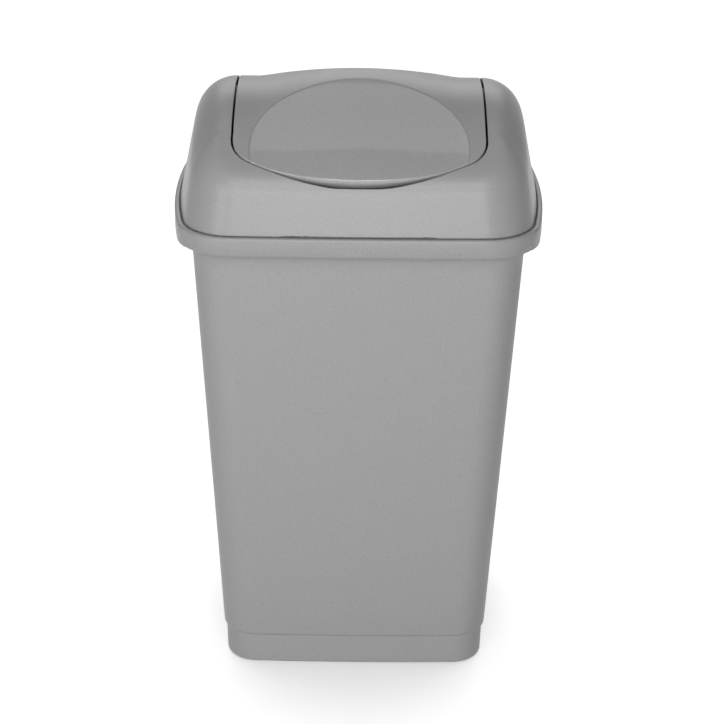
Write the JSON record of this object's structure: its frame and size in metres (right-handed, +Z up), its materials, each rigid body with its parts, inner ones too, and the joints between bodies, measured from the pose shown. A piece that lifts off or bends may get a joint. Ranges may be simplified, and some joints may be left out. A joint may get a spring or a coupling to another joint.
{
  "type": "swing top kitchen bin",
  "caption": "Tall tapered kitchen bin on a recessed foot, with a lift-off rim collar, a domed lid and an arched swing flap that pushes in at the front or back",
  "frame": {"origin": "centre of the footprint, on the floor that the foot stands on", "axes": "+Z up, -Y out of the front, +X to the right seen from the front; the flap swings about X"},
  "size_m": [0.4014, 0.33, 0.662],
  "materials": {
    "tub_plastic": "satin silver-grey moulded plastic with a very fine metallic fleck",
    "collar_plastic": "satin silver-grey moulded plastic with a very fine metallic fleck",
    "hood_plastic": "satin silver-grey moulded plastic with a very fine metallic fleck",
    "flap_plastic": "silver-grey plastic, satin round the edge and polished on the two oval push pads",
    "pin_plastic": "plain grey moulded plastic"
  },
  "bodies": {
    "bin": {"bin_body": "tub_plastic"},
    "collar": {"rim_collar": "collar_plastic"},
    "lid": {"lid_hood": "hood_plastic"},
    "flap": {"swing_flap": "flap_plastic", "pivot_pin_left": "pin_plastic", "pivot_pin_right": "pin_plastic"}
  },
  "joints": [
    {"name": "collar_lift", "type": "slide", "parent": "bin", "child": "collar", "axis": [0, 0, 1], "range_m": [0, 0.12]},
    {"name": "lid_lift", "type": "slide", "parent": "collar", "child": "lid", "axis": [0, 0, 1], "range_m": [0, 0.25]},
    {"name": "flap_swing", "type": "hinge", "parent": "lid", "child": "flap", "pos_m": [0, 0, 0.636], "axis": [1, 0, 0], "range_deg": [-75, 75]}
  ]
}
